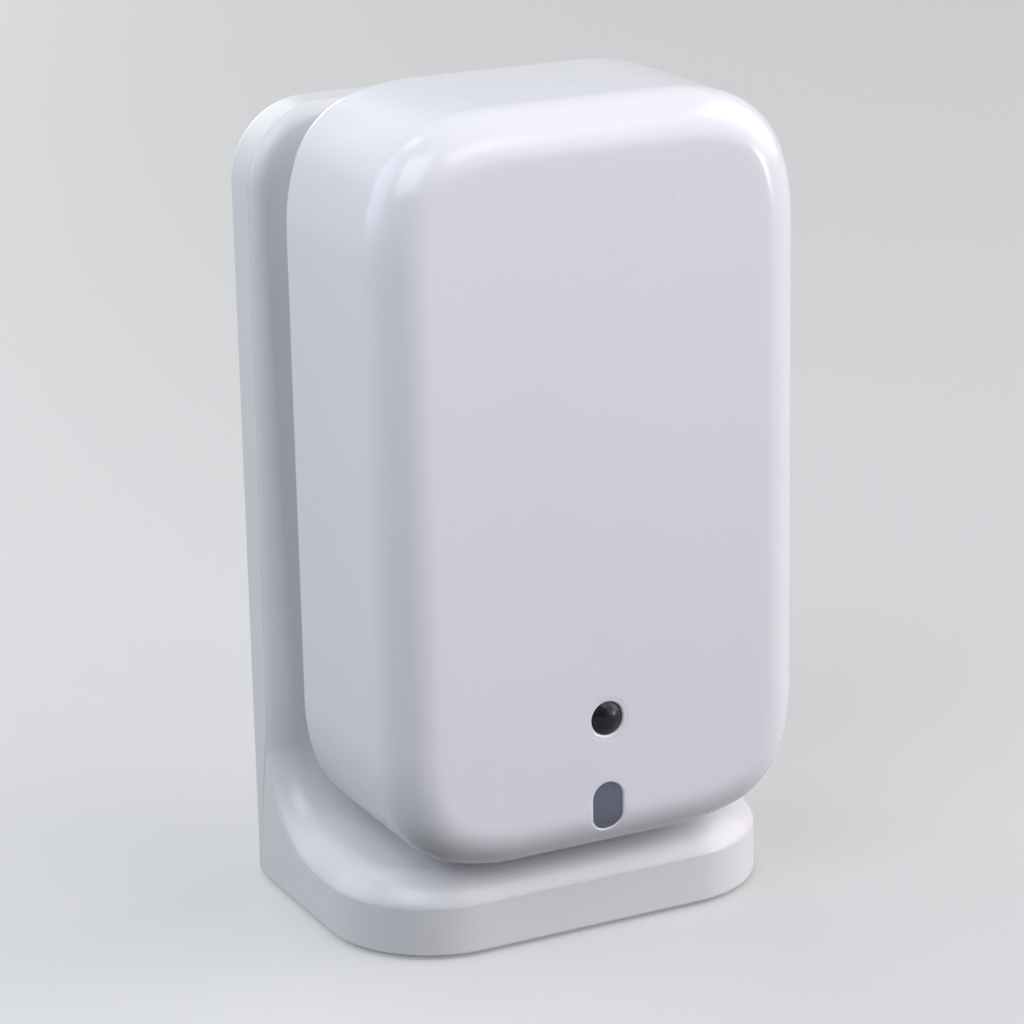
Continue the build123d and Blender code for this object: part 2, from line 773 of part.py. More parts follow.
wireless_z = sensor_lift + sensor_height - wireless_head_room
shield_half_width = wireless_half_width - shield_margin
shield_low_z = wireless_z - wireless_half_height + shield_margin
shield_high_z = wireless_z + wireless_half_height - shield_antenna_strip
shield_front_y = board_front_y - wireless_thickness - shield_thickness
header_x = radar_half_width - header_inset - header_half_width
capacitor_places = [(capacitor_side, sensor_lift + capacitor_height + number * capacitor_pitch)
                    for number in range(capacitor_count)]

save("main_board", make_main_board())
save("board_screws", [Pos(x, board_front_y - board_head_height, z) * facing_forward
                      * screw(*small_screw, board_screw_length) for x, z in post_places])
save("radar_board", block((-radar_half_width, radar_half_width), (radar_front_y, radar_rear_y),
                          (radar_z - radar_half_height, radar_z + radar_half_height)))
save("radar_chip", on_radar(radar_chip_half, radar_chip_half, radar_chip_thickness, 0, radar_z - radar_chip_drop))
save("radar_antenna_patches", [on_radar(patch_half_width, patch_half_height, patch_thickness, x, z)
                               for x, z in patch_places()])
save("radar_headers", both_sides(block((header_x - header_half_width, header_x + header_half_width),
                                       (radar_rear_y, board_front_y),
                                       (radar_z - header_half_height, radar_z + header_half_height))))
save("wireless_module", on_board(wireless_half_width, wireless_half_height, wireless_thickness, 0, wireless_z))
save("wireless_shield", block((-shield_half_width, shield_half_width),
                              (shield_front_y, board_front_y - wireless_thickness), (shield_low_z, shield_high_z)))
save("board_capacitors", [rod("y", capacitor_radius, (board_front_y - capacitor_length, board_front_y), x, z)
                          for x, z in capacitor_places])


# Light sensor behind its lens, and the lit window below it

def make_light_sensor_lens():
    """Dome on a short barrel, with a flange behind the front wall."""
    ball_radius = (lens_radius ** 2 + lens_dome ** 2) / (2 * lens_dome)
    dome = Pos(0, front_y - lens_dome + ball_radius, lens_z) * Sphere(ball_radius)
    dome &= rod("y", lens_radius, (front_y - lens_dome, front_y), 0, lens_z)
    body = dome + rod("y", lens_radius, (front_y, inner_front_y), 0, lens_z)
    return body + rod("y", lens_flange_radius, (inner_front_y, lens_back_y), 0, lens_z)


lens_back_y = inner_front_y + lens_flange_thickness


def make_lens_bezel():
    body = rod("y", bezel_radius, (front_y - bezel_proud, front_y + bezel_depth), 0, lens_z)
    body = fillet(body.edges().filter_by(GeomType.CIRCLE).sort_by(Axis.Y)[0], bezel_proud)
    return body - rod("y", lens_radius + lens_fit, (front_y - bezel_proud, front_y + bezel_depth), 0, lens_z)


save("light_sensor_lens", make_light_sensor_lens())
save("lens_bezel", make_lens_bezel())
save("light_shroud", rod("y", shroud_radius, (lens_back_y, board_front_y), 0, lens_z)
     - rod("y", shroud_bore, (lens_back_y, board_front_y), 0, lens_z))
save("light_sensor_chip", on_board(light_chip_half, light_chip_half, light_chip_thickness, 0, lens_z))
save("status_window", sensor_block(0, rear_y, front_y, front_fillet)
     & capsule_prism(0, (front_y, front_y + window_depth)))
save("status_led", on_board(led_half_width, led_half_height, led_thickness, 0, window_z))


# Pairing button and its switch

def make_pair_button():
    outer_y = rear_y - button_recess
    cap = rod("y", button_radius, (cover_inner_y - button_flange_play, outer_y), button_side, button_z)
    cap = fillet(cap.edges().filter_by(GeomType.CIRCLE).sort_by(Axis.Y)[-1], edge_break)
    flange_span = (button_guide_y, cover_inner_y - button_flange_play)
    cap += rod("y", button_flange_radius, flange_span, button_side, button_z)
    return cap + rod("y", button_stem_radius, (plunger_tip_y, button_guide_y), button_side, button_z)


def make_tact_switch():
    x = (button_side - switch_half, button_side + switch_half)
    z = (button_z - switch_half, button_z + switch_half)
    body = block(x, (board_rear_y, switch_y), z)
    bore_span = (switch_y - plunger_depth - button_travel - plunger_fit, switch_y)
    return body - rod("y", plunger_radius + plunger_fit, bore_span, button_side, button_z)


save("pair_button", make_pair_button())
save("switch_plunger", rod("y", plunger_radius, (switch_y - plunger_depth, plunger_tip_y), button_side, button_z))
save("tact_switch", make_tact_switch())
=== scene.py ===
"""Presence sensor on its tilting dock and stand: shells, small parts, finishes and studio.

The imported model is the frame. The two white shells, the lens, its bezel and the lit window are
surfaces worked out with numpy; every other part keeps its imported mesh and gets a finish. All
lengths are in metres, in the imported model's own axes: X to the right seen from the front,
Y backwards, Z up.
"""

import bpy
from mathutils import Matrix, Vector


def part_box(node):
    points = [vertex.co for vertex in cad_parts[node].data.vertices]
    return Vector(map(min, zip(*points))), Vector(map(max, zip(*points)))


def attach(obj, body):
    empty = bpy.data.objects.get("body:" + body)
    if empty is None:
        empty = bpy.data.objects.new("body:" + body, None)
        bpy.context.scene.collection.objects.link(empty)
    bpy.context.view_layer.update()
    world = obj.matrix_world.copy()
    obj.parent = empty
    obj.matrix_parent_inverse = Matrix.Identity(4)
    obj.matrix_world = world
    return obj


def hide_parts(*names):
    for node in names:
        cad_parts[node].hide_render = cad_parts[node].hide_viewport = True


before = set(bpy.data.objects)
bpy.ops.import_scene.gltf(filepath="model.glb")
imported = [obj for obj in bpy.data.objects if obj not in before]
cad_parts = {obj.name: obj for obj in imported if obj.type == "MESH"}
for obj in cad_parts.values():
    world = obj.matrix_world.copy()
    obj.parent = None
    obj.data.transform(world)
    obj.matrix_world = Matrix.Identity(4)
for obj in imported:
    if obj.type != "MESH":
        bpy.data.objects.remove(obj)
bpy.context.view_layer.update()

import math

import bpy
import bmesh
import numpy as np
from bpy.props import FloatProperty, FloatVectorProperty, PointerProperty
from mathutils import Matrix, Vector
from mathutils.geometry import tessellate_polygon

bl_info = {
    "name": "Presence sensor",
    "version": (1, 0, 0),
    "blender": (4, 5, 0),
    "location": "3D View > Sidebar > Sensor",
    "description": "Builds the sensor, its stand and a small studio around the packed model",
    "category": "Object",
}

MM = 0.001
QUARTER = math.pi / 2
WELD = 2e-6             # points nearer than this become one
SHOWN_EDGES = 8         # open edges that an error names
AROUND = 64             # points round a lens, ring or bore,
TUBE_AROUND = 32        # round a screw's tube,
ARC_POINTS = 25         # along the arc of a corner,
EDGE_POINTS = 17        # along a rounded edge
SMALL_POINTS = 11       # and along a small or a slight one
FLAT_MARGIN = 0.3 * MM  # flat strip beside a soft edge, which keeps its shading off the face
SCREW_HEAD = 1.7 * MM   # radius of every screw's head
PILOT_HOLE = 0.93 * MM  # radius of the hole that a screw bites into
CASE_TUBE = 2.3 * MM    # radius of the tubes for the case screws,
COVER_TUBE = 2.4 * MM   # for the screws of the back cover and the bracket,
BASE_TUBE = 2.6 * MM    # and for those of the base cover
TUBE_BITE = 0.3 * MM    # how far a tube runs into the wall that it stands on


def span(node, axis):
    """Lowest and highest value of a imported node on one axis."""
    low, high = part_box(node)
    return low[axis], high[axis]


def colour(name, description, value):
    return FloatVectorProperty(name=name, description=description, subtype="COLOR", size=3,
                               min=0, max=1, default=value)


def length(name, description, value):
    return FloatProperty(name=name, description=description, unit="LENGTH", min=0, precision=5,
                         default=value)


def degrees(name, description, value):
    return FloatProperty(name=name, description=description, subtype="ANGLE",
                         default=math.radians(value))


class SensorSizes(bpy.types.PropertyGroup):
    corner_reach: length("Corner reach", "How far a soft corner runs along each side", 14.5 * MM)
    corner_radius: length("Corner radius", "Tightest radius of a soft corner", 9.6 * MM)
    corner_sweep: degrees("Corner sweep", "Angle of each wide arc beside the tight one", 18.9)
    front_round: length("Front rounding", "Radius of the edge round the front face", 5.1 * MM)
    wall: length("Wall", "Thickness of the housing", 1.8 * MM)
    rim: length("Rim", "Width of the rim round the rear cover", 0.9 * MM)
    cover: length("Rear cover", "How deep the rear cover sits", 1.8 * MM)
    edge: length("Edge break", "Softness of the moulded edges", 0.25 * MM)
    hole_edge: length("Window edge", "Rounding of the edge round the window", 0.30 * MM)
    window_width: length("Window width", "Width of the lit window", 3.5 * MM)
    window_length: length("Window length", "Height of the lit window", 5.3 * MM)
    window_height: length("Window place", "Height of the window above the lower edge", 5.5 * MM)
    lens_height: length("Lens place", "Height of the lens above the lower edge", 15.3 * MM)
    lens_radius: length("Lens radius", "Radius of the light sensor's lens", 1.8 * MM)
    lens_dome: length("Lens dome", "How far the lens stands out", 0.45 * MM)
    lens_sink: length("Lens edge depth", "How deep the lens's edge sits below the face", 0.20 * MM)
    bezel_radius: length("Bezel radius", "Outer radius of the ring round the lens", 2.3 * MM)
    bezel_depth: length("Bezel depth", "How deep the ring sits in the face", 0.6 * MM)
    bezel_roll: length("Bezel rounding", "Rounding of the ring's inner edge", 0.30 * MM)
    window_sink: length("Window depth", "How deep the window's face sits in its opening", 0.20 * MM)
    seam: length("Seam", "Softness of the joint line round the ring and the window", 0.012 * MM)
    fit: length("Fit", "Play round the lens, the ring and the window", 0.006 * MM)


class StandSizes(bpy.types.PropertyGroup):
    head_corner: length("Head corner", "Radius of the upright's top corners", 8.6 * MM)
    foot_corner: length("Foot corner", "Radius of the foot's front corners", 12.1 * MM)
    sweep: length("Sweep", "Radius between the upright and the foot", 8.0 * MM)
    foot_height: length("Foot height", "Top of the foot above the floor", 8.8 * MM)
    plate: length("Upright thickness", "Thickness of the upright", 6.2 * MM)
    head_edge: length("Upright edge", "Rounding of the upright's front edge", 1.1 * MM)
    sweep_edge: length("Sweep edge", "Rounding of the edge beside the sweep", 2.2 * MM)
    foot_edge: length("Foot edge", "Rounding of the foot's top edge", 2.9 * MM)
    edge_spread: FloatProperty(name="Edge spread", min=1, default=1.35,
                               description="Width of the front edge's rounding over its depth")
    edge_turn: degrees("Edge turn", "Angle the front edge turns before it meets the side", 68)
    groove_width: length("Groove width", "Width of the groove beside the front edge", 0.26 * MM)
    groove_depth: length("Groove depth", "Depth of the groove beside the front edge", 0.12 * MM)
    back_edge: length("Back edge", "Rounding of the upright's rear edge", 0.6 * MM)
    base_edge: length("Base edge", "Rounding of the foot's lower edge", 0.35 * MM)
    rim: length("Rim", "Width of the rim round both covers", 0.9 * MM)
    wall: length("Upright wall", "Thickness of the upright's wall", 2.0 * MM)
    foot_wall: length("Foot wall", "Thickness of the foot's wall", 2.2 * MM)
    back_cover: length("Back cover", "Thickness of the back cover", 1.5 * MM)
    base_cover: length("Base cover", "Thickness of the base cover", 2.4 * MM)
    bracket_depth: length("Bracket pocket", "Depth of the pocket for the hinge bracket", 1.5 * MM)
    bracket_play: length("Bracket play", "Play round the hinge bracket", 0.1 * MM)


class Finishes(bpy.types.PropertyGroup):
    shell: colour("Housing", "Colour of the white housing", (0.80, 0.79, 0.83))
    # Painted shade: the stand's colour is a little darker than the housing's, so that its foot
    # shows the dimmer light that falls low down
    stand: colour("Stand", "Colour of the stand", (0.76, 0.75, 0.77))
    lens: colour("Lens", "Colour of the light sensor's lens", (0.006, 0.006, 0.008))
    window: colour("Window", "Colour of the lit window, unlit", (0.108, 0.125, 0.170))
    rubber: colour("Rubber", "Colour of the pads", (0.16, 0.165, 0.175))
    metal: colour("Metal", "Colour of the screws and the bracket", (0.56, 0.56, 0.57))
    board: colour("Board", "Colour of the circuit boards", (0.012, 0.075, 0.035))
    floor: colour("Floor", "Colour of the studio floor", (0.73, 0.73, 0.735))


# Surfaces

def steps(first, last, count):
    return np.linspace(first, last, count)


def ring(around=AROUND):
    """Angles once round a circle, evenly spaced."""
    return steps(0, 2 * math.pi, around + 1)[:-1]


def quads(rows, columns, closed=False):
    """Corners of the faces of a grid of points; closed joins the last column to the first."""
    index = np.arange(rows * columns).reshape(rows, columns)
    if closed:
        index = np.concatenate([index, index[:, :1]], axis=1)
    corners = index[:-1, :-1], index[:-1, 1:], index[1:, 1:], index[1:, :-1]
    return np.stack(corners, axis=-1).reshape(-1, 4)


def stood(loop, y):
    """A flat loop of x and z stood up at y, which is one depth or one for each point."""
    return np.stack([loop[:, 0], y + 0 * loop[:, 0], loop[:, 1]], axis=-1)


class Surface:
    """Mesh put together from grids and flat caps, welded where their borders meet."""

    def __init__(self):
        self.points = []
        self.faces = []
        self.count = 0

    def add(self, points, faces):
        self.points.append(points.reshape(-1, 3))
        self.faces += (faces + self.count).tolist()
        self.count += len(self.points[-1])

    def grid(self, points, closed=False):
        """Rows by columns of points; closed joins the last column to the first."""
        self.add(points, quads(*points.shape[:2], closed))

    def halves(self, points):
        """A grid and its mirror image across the middle of the width."""
        self.grid(points)
        self.grid(points * (-1, 1, 1))

    def turned(self, profile, centre, axis, around=AROUND):
        """Radius and height pairs carried round an axis.

        A point is the centre, plus its height along the axis, plus its radius at each angle.
        """
        radius, height = np.array(profile).T
        angle = ring(around)
        points = np.zeros((len(radius), around, 3))
        first, second = (axis + 1) % 3, (axis + 2) % 3
        points[..., axis] = height[:, None]
        points[..., first] = radius[:, None] * np.cos(angle)
        points[..., second] = radius[:, None] * np.sin(angle)
        self.grid(points + np.array(centre), closed=True)

    def cap(self, *loops):
        """Flat face inside the first loop and outside the others."""
        found = tessellate_polygon([[Vector(point) for point in loop.tolist()] for loop in loops])
        self.add(np.concatenate(loops), np.array(found))

    def piece(self, name, sharp=math.radians(40)):
        """The mesh as an object: welded, closed, with its faces outwards and shaded smooth."""
        mesh = bpy.data.meshes.new(name)
        mesh.from_pydata(np.concatenate(self.points).tolist(), [], self.faces)
        work = bmesh.new()
        work.from_mesh(mesh)
        bmesh.ops.remove_doubles(work, verts=work.verts, dist=WELD)
        bmesh.ops.dissolve_degenerate(work, edges=work.edges, dist=WELD / 10)
        bmesh.ops.recalc_face_normals(work, faces=work.faces)
        loose = [tuple(round(part / MM, 2) for part in edge.verts[0].co) for edge in work.edges
                 if not edge.is_manifold]
        work.to_mesh(mesh)
        work.free()
        if loose:
            raise RuntimeError(f"{name} has {len(loose)} open edges, near {loose[:SHOWN_EDGES]} mm")
        mesh.shade_smooth()
        mesh.set_sharp_from_angle(angle=sharp)
        thing = bpy.data.objects.new(name, mesh)
        bpy.context.scene.collection.objects.link(thing)
        return thing


def corner_arc(middle, radius, angle, way=1):
    """Arc in a plane, each point with its outward direction, which is (cos a, way x sin a)."""
    outward = np.stack([np.cos(angle), way * np.sin(angle)], axis=-1)
    return np.concatenate([middle + radius * outward, outward], axis=-1)


def mirrored(path):
    """A path for the right half, from middle to middle, with its mirror image on the way back."""
    back = path[::-1] * ((-1,) + (1,) * (path.shape[-1] - 1))
    keep = np.abs(back[:, 0]) > WELD
    return np.concatenate([path, back[keep]])


def rolled(first, corner, drop, last):
    """Rows over a soft edge and down a wall, which ends at last.

    The edge is first (1 - t)^2 + corner 2t(1 - t) + below t^2, where t runs from 0 to 1 and
    below is the sharp corner moved down the wall by drop.
    """
    part = steps(0, 1, 6)[:, None, None]
    below = corner + (0, drop, 0)
    edge = first * (1 - part) ** 2 + corner * (2 * part * (1 - part)) + below * part ** 2
    return np.concatenate([edge, last[None]])


def screw_tubes(surface, node, axis, radius, first, last):
    """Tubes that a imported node's screws bite into: a square profile turned round each screw.

    The screws stand along axis at the corners of the node's box, or at its ends where the box
    is one head wide. The tubes run from first to last.
    """
    low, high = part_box(node)
    other = 3 - axis
    rows = [low[other] + SCREW_HEAD, high[other] - SCREW_HEAD]
    if rows[1] - rows[0] < SCREW_HEAD:
        rows = [(low[other] + high[other]) / 2]
    profile = [(radius, first), (radius, last), (PILOT_HOLE, last), (PILOT_HOLE, first),
               (radius, first)]
    for x in (low[0] + SCREW_HEAD, high[0] - SCREW_HEAD):
        for row in rows:
            centre = [x, 0, 0]
            centre[other] = row
            surface.turned(profile, centre, axis, TUBE_AROUND)


# Sensor housing

class Housing:
    """Outline, front rounding and openings of the sensor's housing."""

    def __init__(self, sizes):
        self.sizes = sizes
        self.half = span("front_shell", 0)[1]
        self.front, self.rear = span("front_shell", 1)
        self.low, self.high = span("front_shell", 2)
        self.window_z = self.low + sizes.window_height
        self.lens_z = self.low + sizes.lens_height
        self.round_z = self.low + sizes.front_round
        self.flat_z = self.round_z + FLAT_MARGIN
        self.path, self.outward, self.give = self.half_path()

    def half_path(self):
        """Right half of the outline from the lower middle to the upper middle.

        A corner is a wide arc, a tight arc and a wide arc, tangent to each other and the sides.
        Each point comes with its outward direction, and with how much it moves along the lower
        side when the window opens that side at the middle.
        """
        s = self.sizes
        half_width, half_height = self.half, (self.high - self.low) / 2
        end_points, side_points = 6, 7
        bend, reach, tight = s.corner_sweep, s.corner_reach, s.corner_radius
        slack = math.cos(bend) - math.sin(bend)
        wide = (reach - tight * slack) / (1 - slack)
        depth = wide - (wide - tight) * math.cos(bend)
        arcs = [corner_arc((half_width - x, half_height - z), radius, steps(first, last, count))
                for x, z, radius, first, last, count in (
                    (wide, reach, wide, 0, bend, SMALL_POINTS),
                    (depth, depth, tight, bend, QUARTER - bend, ARC_POINTS),
                    (reach, wide, wide, QUARTER - bend, QUARTER, SMALL_POINTS))]
        corner, turn = np.hsplit(np.concatenate([arcs[0], arcs[1][1:], arcs[2][1:]]), 2)
        loop_reach = s.window_width / 2 + s.fit + s.hole_edge
        margin = FLAT_MARGIN / (half_width - reach - loop_reach)
        part = np.concatenate([[0, margin], steps(0, 1, end_points)[1:-1]])[:, None]
        lower = np.concatenate([part * (half_width - reach), 0 * part - half_height], axis=1)
        height = steps(-1, 1, side_points + 2)[1:-1] * corner[0, 1]
        side = np.stack([np.full(side_points, half_width), height], axis=-1)
        down = np.array([[0.0, -1.0]]).repeat(end_points, 0)
        right = np.array([[1.0, 0.0]]).repeat(side_points, 0)
        path = np.concatenate([lower, corner[::-1] * (1, -1), side, corner, lower[::-1] * (1, -1)])
        outward = np.concatenate([down, turn[::-1] * (1, -1), right, turn, -down])
        give = np.zeros(len(path))
        give[:end_points] = 1 - part[:, 0]
        path[:, 1] += (self.low + self.high) / 2
        return path, outward, give

    def rows(self, inset, depth, gap):
        """Outline at each inset, placed at each depth: point = outline - inset x outward."""
        inset, depth, gap = (np.asarray(value, float)[:, None] for value in (inset, depth, gap))
        x = self.path[:, 0] - inset * self.outward[:, 0] + gap * self.give
        z = self.path[:, 1] - inset * self.outward[:, 1]
        return np.stack([x, depth + 0 * x, z], axis=-1)

    def face_y(self, z, wall=0.0):
        """Depth of the front face at z: a quarter circle at the lower edge, then flat."""
        radius = self.sizes.front_round - wall
        drop = np.clip(self.round_z - z, 0, radius)
        return self.front + wall + radius - np.sqrt(radius ** 2 - drop ** 2)

    def capsule(self, grow):
        """Right half of the window's outline, and how many points come before the flat face.

        From the lowest point up it is a quarter circle, a straight side and a quarter circle.
        """
        s = self.sizes
        radius = s.window_width / 2 + grow
        half = (s.window_length - s.window_width) / 2
        angle = steps(-QUARTER, 0, 13)
        low = np.stack([radius * np.cos(angle), self.window_z - half + radius * np.sin(angle)],
                       axis=-1)
        high = np.stack([low[:, 0], 2 * self.window_z - low[:, 1]], axis=-1)[::-1]
        seam = np.array([[radius, self.round_z], [radius, self.flat_z]])
        half_loop = np.concatenate([low, seam, high])
        half_loop[[0, -1], 0] = 0
        return half_loop, len(low) + len(seam)

    def circle(self, radius, y):
        """Circle round the lens: x = radius cos a, z = the lens's height + radius sin a."""
        angle = ring()
        loop = np.stack([radius * np.cos(angle), self.lens_z + radius * np.sin(angle)], axis=-1)
        return stood(loop, y)

    def edge_rows(self, wall, grow):
        """Rows of the rounded front edge, from the side to the flat face, with the window's gap.

        A row lies radius x (1 - cos a) in from the side, as deep as face_y says.
        """
        radius = self.sizes.front_round - wall
        loop, below = self.capsule(grow)
        angle = steps(0, QUARTER, EDGE_POINTS)
        rise = radius * (1 - np.cos(angle))
        cut = loop[:below, 1] - self.low - wall
        nearest = radius * 0.004
        rise = np.concatenate([rise[rise < cut[0] - nearest], cut])
        gap = np.interp(rise, cut, loop[:below, 0], left=0)
        return wall + rise, self.face_y(self.low + wall + rise, wall), gap

    def flat_face(self, surface, wall, grow, lens_radius, margin):
        """Flat part of the front, with the lens's hole and the upper half of the window's.

        A narrow flat ring goes round both holes where margin is above zero, so that their soft
        edges don't shade the face.
        """
        loop, below = self.capsule(grow)
        y = self.front + wall
        border = self.rows([self.flat_z - self.low], [y], [loop[below - 1, 0]])[0]
        near = stood(loop[below - 1:], y)
        hole, land = self.circle(lens_radius, y), self.circle(lens_radius + margin, y)
        if margin:
            far = stood(self.capsule(grow + margin)[0][below - 1:], y)
            surface.halves(np.stack([near, far]))
            surface.grid(np.stack([hole, land]), closed=True)
            near, border = far, border[1:]
        surface.cap(mirrored(np.concatenate([near[:0:-1], border])), land)

    def build(self):
        """Closed shell: outer skin, rim, step for the cover, inner skin, and both openings' walls.

        From the front face's border outwards and back inside, each row has an inset, a depth and
        the window's gap. The rim's outer edge is a quarter circle.
        """
        s = self.sizes
        surface = Surface()
        grow = s.fit
        outer = self.edge_rows(0, grow + s.hole_edge)
        inner = self.edge_rows(s.wall, grow)
        soft = steps(0, QUARTER, 5)
        step_y = self.rear - s.cover
        side = [self.front + s.front_round + FLAT_MARGIN, self.rear - s.edge - FLAT_MARGIN]
        rim_inset = np.concatenate([[0, 0], s.edge * (1 - np.cos(soft)),
                                    [s.rim - s.edge / 2, s.rim, s.rim, s.wall]])
        rim_depth = np.concatenate([side, self.rear - s.edge * (1 - np.sin(soft)),
                                    [self.rear, self.rear - s.edge / 2, step_y, step_y]])
        inset = np.concatenate([outer[0][::-1], rim_inset, inner[0]])
        depth = np.concatenate([outer[1][::-1], rim_depth, inner[1]])
        gap = np.concatenate([outer[2][::-1], 0 * rim_inset, inner[2]])
        surface.halves(self.rows(inset, depth, gap))
        recess = s.bezel_radius + s.fit
        bore = s.lens_radius + s.fit
        self.flat_face(surface, 0, grow + s.hole_edge, recess + s.seam, FLAT_MARGIN)
        self.flat_face(surface, s.wall, grow, bore, 0)
        self.window_wall(surface, grow)
        self.lens_wall(surface, recess, bore)
        screw_tubes(surface, "case_screws", 1, CASE_TUBE, self.front + s.wall - TUBE_BITE, step_y)
        return surface.piece("sensor_front_shell")

    def window_wall(self, surface, grow):
        """Window's opening: a soft edge, then a straight wall to the inner skin."""
        s = self.sizes
        wide, narrow = self.capsule(grow + s.hole_edge)[0], self.capsule(grow)[0]
        skin = stood(wide, self.face_y(wide[:, 1]))
        corner = stood(narrow, self.face_y(narrow[:, 1]))
        inside = stood(narrow, self.face_y(narrow[:, 1], s.wall))
        surface.halves(rolled(skin, corner, s.hole_edge, inside))

    def lens_wall(self, surface, recess, bore):
        """Recess for the bezel and bore for the lens: a profile turned round, with a soft edge."""
        s = self.sizes
        soft = s.seam
        floor_y = self.front + s.bezel_depth
        profile = [(recess + soft, self.front), (recess + soft * 0.3, self.front + soft * 0.3),
                   (recess, self.front + soft), (recess, floor_y), (bore, floor_y),
                   (bore, self.front + s.wall)]
        surface.grid(np.stack([self.circle(radius, y) for radius, y in profile]), closed=True)


def window_piece(housing):
    """Light guide in the window: its face follows the housing's, a little deeper.

    The face's rows are its outline with x times 0 to 1, and the wall behind it is straight.
    """
    s = housing.sizes
    near, loop = housing.capsule(-s.seam)[0], housing.capsule(0)[0]
    surface = Surface()
    skin = stood(near, housing.face_y(near[:, 1]) + s.window_sink)
    corner = stood(loop, housing.face_y(loop[:, 1]) + s.window_sink)
    back = stood(loop, span("status_window", 1)[1])
    across = steps(0, 1, 5)[:, None, None]
    surface.halves(skin * np.concatenate([across, across * 0 + 1, across * 0 + 1], axis=-1))
    surface.halves(rolled(skin, corner, s.seam, back))
    surface.cap(mirrored(back))
    return surface.piece("sensor_window", math.radians(50))


def lens_piece(housing):
    """Lens: a part of a sphere on a short barrel, with a flange behind the front wall.

    At angle a the dome is ball x sin a across and ball x (1 - cos a) behind its top.
    """
    s = housing.sizes
    rise = s.lens_dome + s.lens_sink
    ball = (s.lens_radius ** 2 + rise ** 2) / (2 * rise)
    reach = math.asin(s.lens_radius / ball)
    angle = steps(0, reach, 14)
    top_y = housing.front - s.lens_dome
    dome = [(ball * math.sin(a), top_y + ball * (1 - math.cos(a))) for a in angle]
    inner_y = housing.front + s.wall
    flange, back_y = span("light_sensor_lens", 0)[1], span("light_sensor_lens", 1)[1]
    profile = dome + [(s.lens_radius, inner_y), (flange, inner_y), (flange, back_y), (0, back_y)]
    surface = Surface()
    surface.turned(profile, (0, 0, housing.lens_z), 1)
    return surface.piece("sensor_lens")


def bezel_piece(housing):
    """Ring round the lens, flush with the face: a flat land, then a quarter round into the bore.

    The quarter round is r cos a inwards from the land and r(1 - sin a) down.
    """
    s = housing.sizes
    bore = s.lens_radius + s.fit
    top_y, back_y = housing.front, housing.front + s.bezel_depth
    angle = steps(QUARTER, 0, SMALL_POINTS)
    roll = [(bore + s.bezel_roll * (1 - math.cos(a)), top_y + s.bezel_roll * (1 - math.sin(a)))
            for a in angle]
    rim = s.bezel_radius
    profile = [(rim, back_y), (rim, top_y + s.seam), (rim - s.seam, top_y), *roll, (bore, back_y),
               (rim, back_y)]
    surface = Surface()
    surface.turned(profile, (0, 0, housing.lens_z), 1)
    return surface.piece("sensor_bezel")


# Stand

